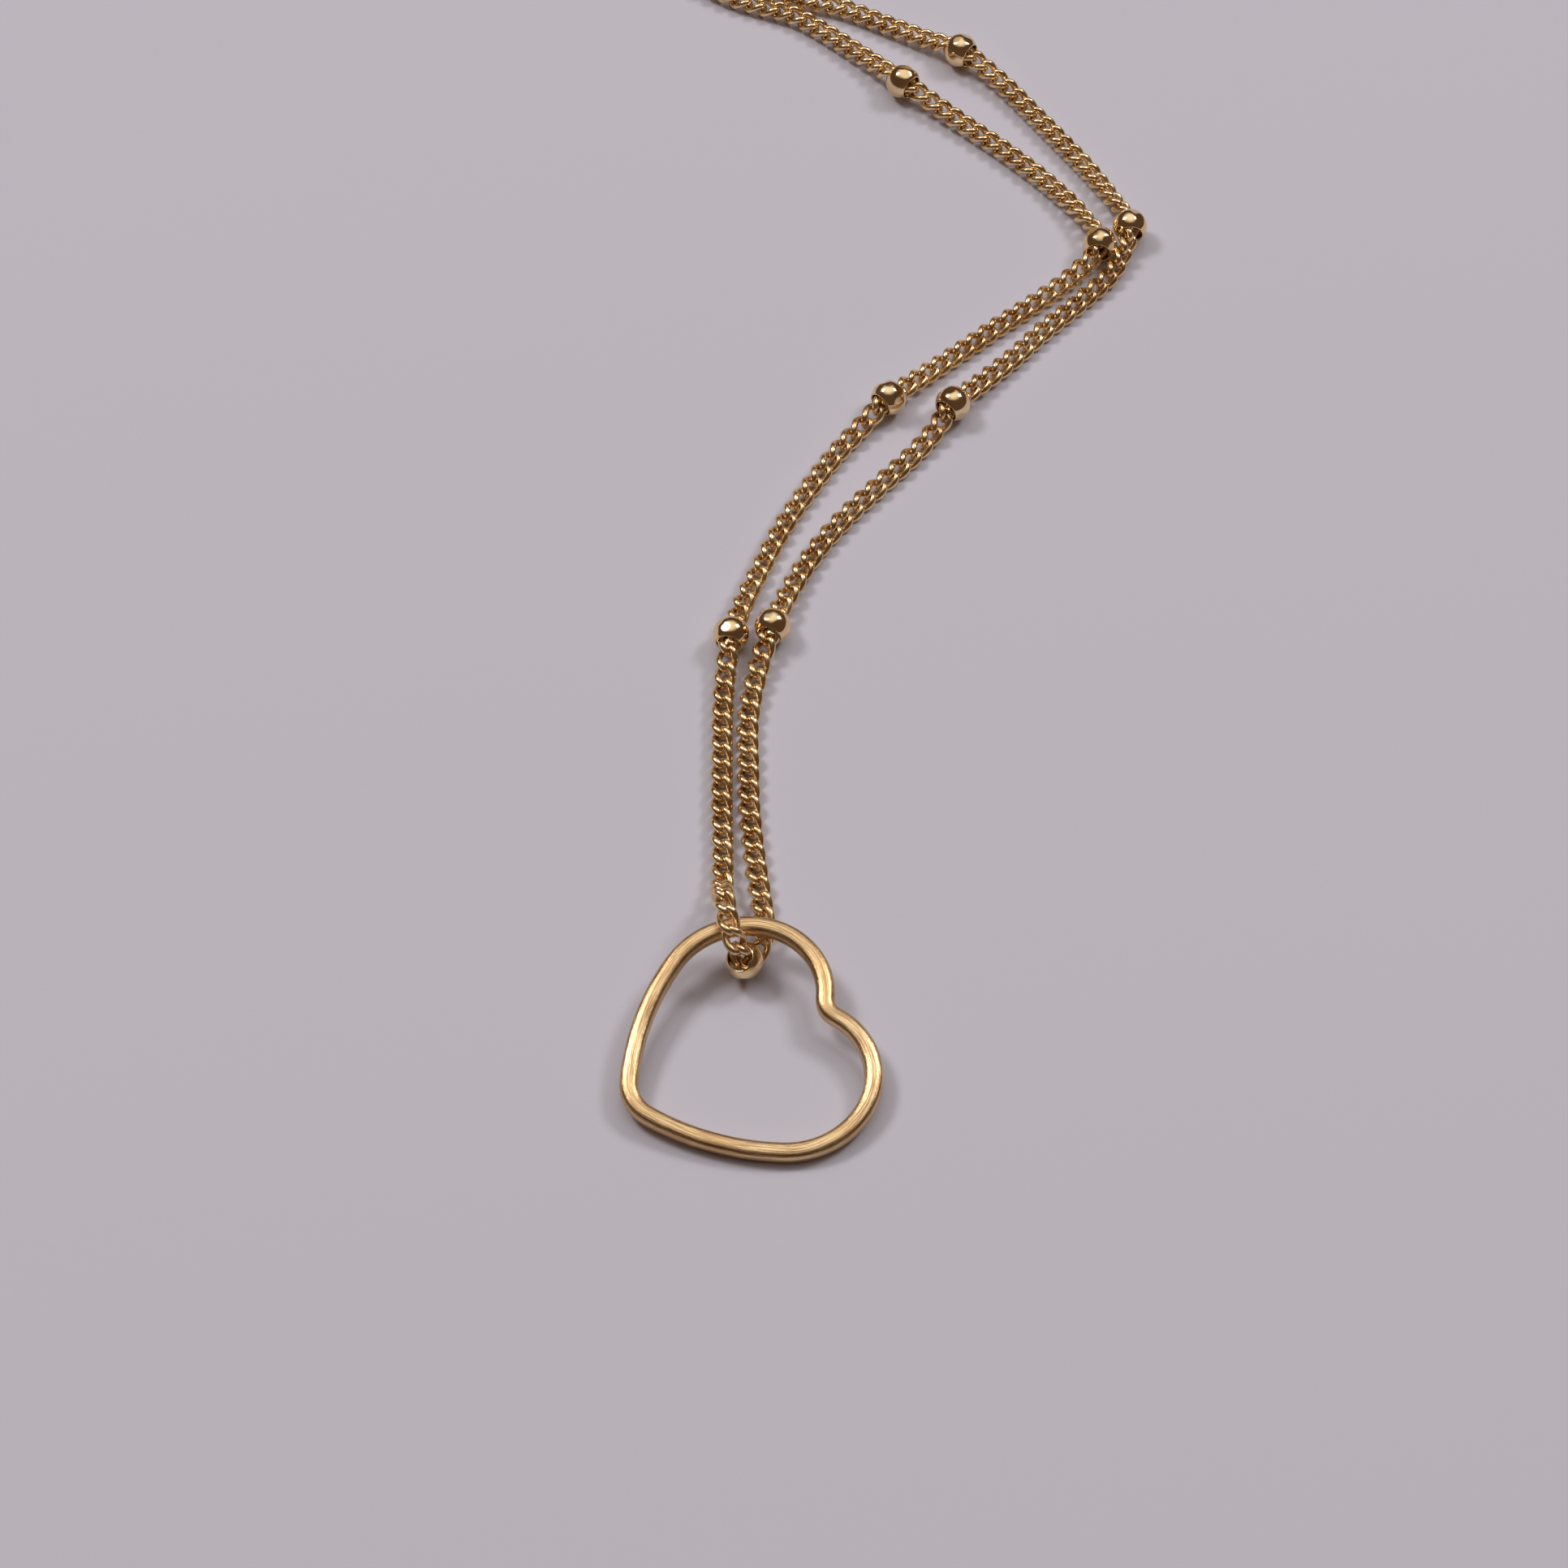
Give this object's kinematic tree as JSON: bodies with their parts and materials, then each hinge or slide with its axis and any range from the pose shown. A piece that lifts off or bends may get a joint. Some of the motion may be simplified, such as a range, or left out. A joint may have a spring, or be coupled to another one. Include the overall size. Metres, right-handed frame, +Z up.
{
  "type": "pendant necklace",
  "caption": "Fine curb chain with spaced polished beads and an open wire heart threaded on its middle, closed by a small lever clasp and ring, worn round the neck.",
  "frame": {"origin": "on the table under the middle of the heart's own box, the heart lying as it is seen", "axes": "+Z up off the table, the chain runs away from the heart along +Y, +X to the right of somebody who looks from the heart's side"},
  "size_m": [0.0365, 0.1319, 0.005],
  "materials": {
    "heart_gold": "polished gold plate with fine drawing lines along the wire",
    "chain_gold": "polished gold plate on small twisted links",
    "bead_gold": "mirror polished gold plate with small crimp marks",
    "clasp_gold": "tumbled and polished gold plate",
    "spring_steel": "bright spring leaf"
  },
  "bodies": {
    "chain": {"middle_bead": "bead_gold", "left_bead_1": "bead_gold", "left_bead_2": "bead_gold", "left_bead_3": "bead_gold", "left_bead_4": "bead_gold", "left_bead_5": "bead_gold", "left_bead_6": "bead_gold", "left_bead_7": "bead_gold", "left_bead_8": "bead_gold", "left_bead_9": "bead_gold", "right_bead_1": "bead_gold", "right_bead_2": "bead_gold", "right_bead_3": "bead_gold", "right_bead_4": "bead_gold", "right_bead_5": "bead_gold", "right_bead_6": "bead_gold", "right_bead_7": "bead_gold", "left_chain": "chain_gold", "right_chain": "chain_gold", "coiled_chain": "chain_gold", "left_end_link": "chain_gold", "right_end_link": "chain_gold", "clasp_body": "clasp_gold", "clasp_pin": "clasp_gold", "clasp_spring": "spring_steel"},
    "pendant": {"heart": "heart_gold"},
    "lever": {"clasp_lever": "clasp_gold"},
    "left_ring": {"left_jump_ring": "clasp_gold"},
    "hook_ring": {"closing_ring": "clasp_gold"}
  },
  "joints": [
    {"name": "heart_flip", "type": "hinge", "parent": "chain", "child": "pendant", "pos_m": [-0.00018, 0.00793, 0.00261], "axis": [-1, 0, 0], "range_deg": [0, 110]},
    {"name": "lever_open", "type": "hinge", "parent": "chain", "child": "lever", "pos_m": [0.0053, 0.10734, 0.00125], "axis": [0, 0, 1], "range_deg": [0, 20], "stiffness_Nm_per_rad": 0.002, "springref_deg": -17.19},
    {"name": "left_ring_roll", "type": "hinge", "parent": "chain", "child": "left_ring", "pos_m": [0.0069, 0.11295, 0.0011], "axis": [0, 1, 0], "range_deg": [-20, 20]},
    {"name": "hook_ring_roll", "type": "hinge", "parent": "chain", "child": "hook_ring", "pos_m": [0.0069, 0.10297, 0.0011], "axis": [0, 1, 0], "range_deg": [-20, 20]}
  ]
}
